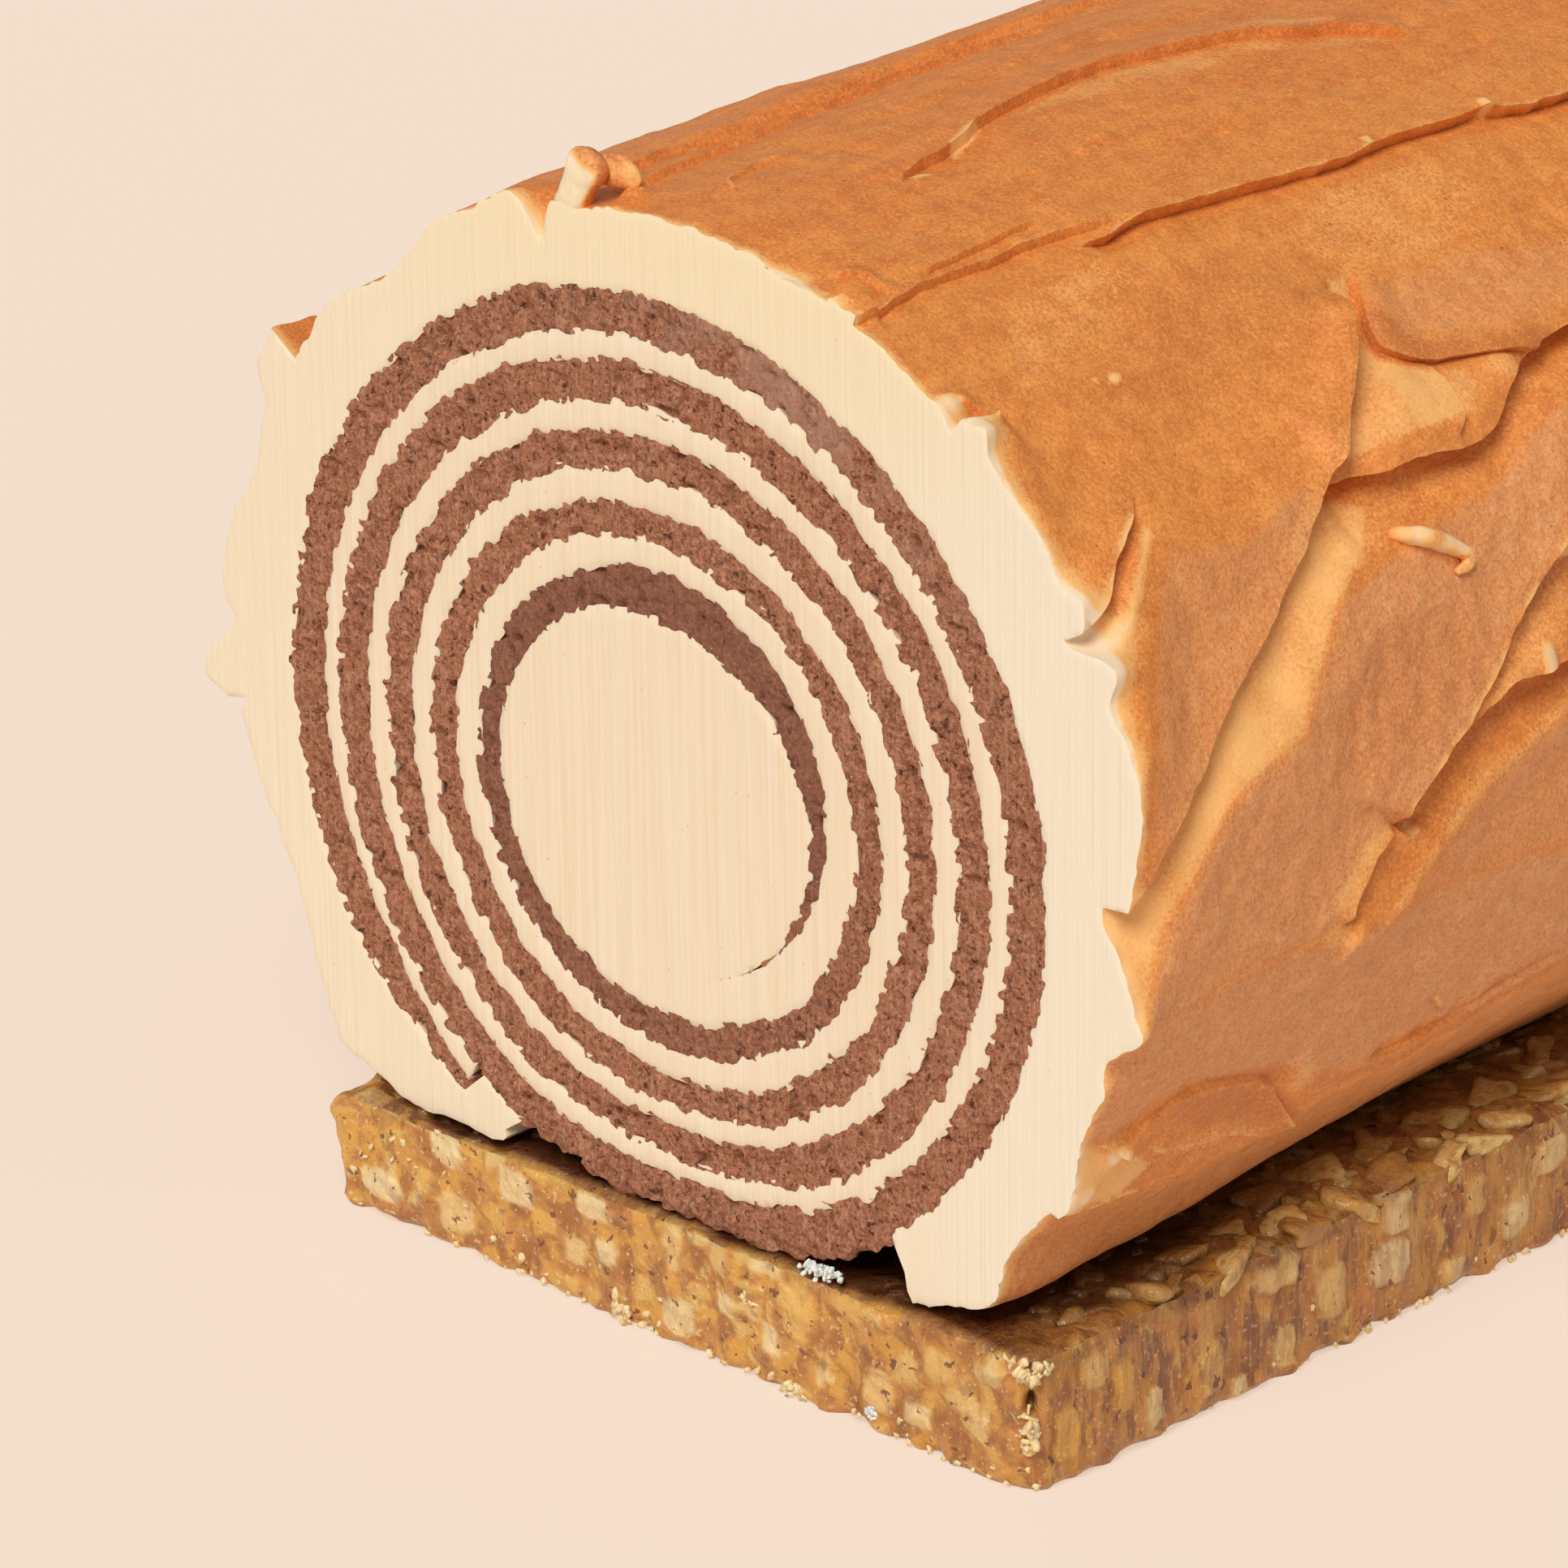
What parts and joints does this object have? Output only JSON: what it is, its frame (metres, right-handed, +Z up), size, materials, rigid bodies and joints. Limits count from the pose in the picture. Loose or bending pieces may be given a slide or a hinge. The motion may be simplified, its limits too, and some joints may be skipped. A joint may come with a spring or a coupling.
{
  "type": "yule log cake",
  "caption": "Rolled chocolate sponge log with cream spiral, cut flat at both ends, under a caramel-brown knife-worked cream coat, on a chopped nut slab.",
  "frame": {"origin": "on the flat underside of the nut slab, below the log's axis, midway between the two cut ends", "axes": "+Z up; the log's axis lies along Y and the cut end that shows in the picture faces -Y"},
  "size_m": [0.1093, 0.2234, 0.1012],
  "materials": {
    "nut_base": "chopped nuts and candied peel bound in golden syrup paste, slightly sticky and shiny",
    "chocolate_sponge": "fine-crumbed matte chocolate sponge, cut with a knife",
    "pale_cream": "smooth pale butter cream, cut with a knife",
    "browned_cream": "butter cream sprayed caramel brown outside, pale where it is cut"
  },
  "bodies": {
    "root": {"nut_base": "nut_base", "sponge_roll": "chocolate_sponge", "cream_filling": "pale_cream", "cream_coat": "browned_cream"}
  },
  "joints": []
}
